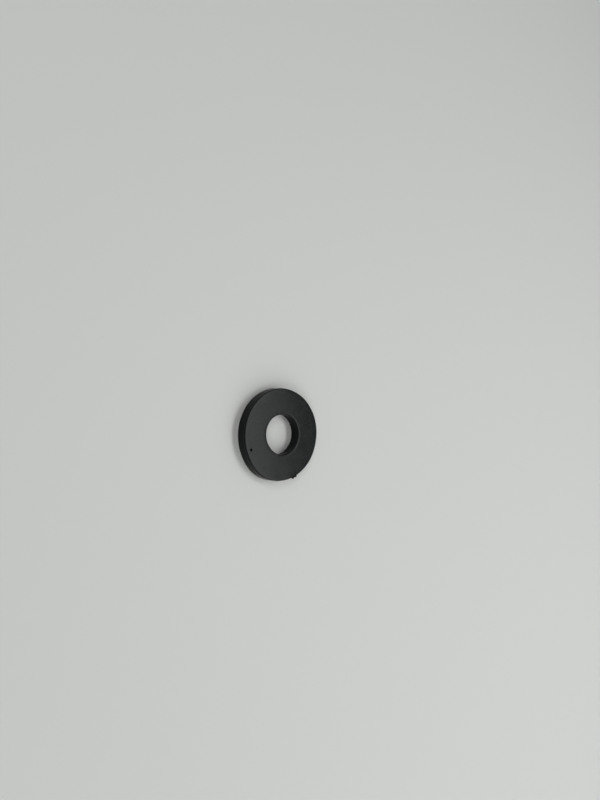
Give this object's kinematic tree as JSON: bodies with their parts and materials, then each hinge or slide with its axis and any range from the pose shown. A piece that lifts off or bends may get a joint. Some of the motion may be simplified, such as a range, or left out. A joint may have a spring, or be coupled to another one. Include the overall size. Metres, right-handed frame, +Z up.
{
  "type": "flat rubber washer",
  "caption": "Flat black rubber sealing washer with a round bore, square section and softened edges, with a scrap of moulding flash on its rim.",
  "frame": {"origin": "centre of the bottom face, on the bore's axis", "axes": "+Z up, along the bore's axis; the scrap of flash on the rim is 21 degrees from +X towards +Y, and the pore in the top face is 71 degrees from +X towards -Y"},
  "size_m": [0.024, 0.024, 0.0031],
  "materials": {
    "black_rubber": "matte moulded rubber with a faint grey bloom on the flat faces"
  },
  "bodies": {
    "root": {"gasket": "black_rubber"}
  },
  "joints": []
}
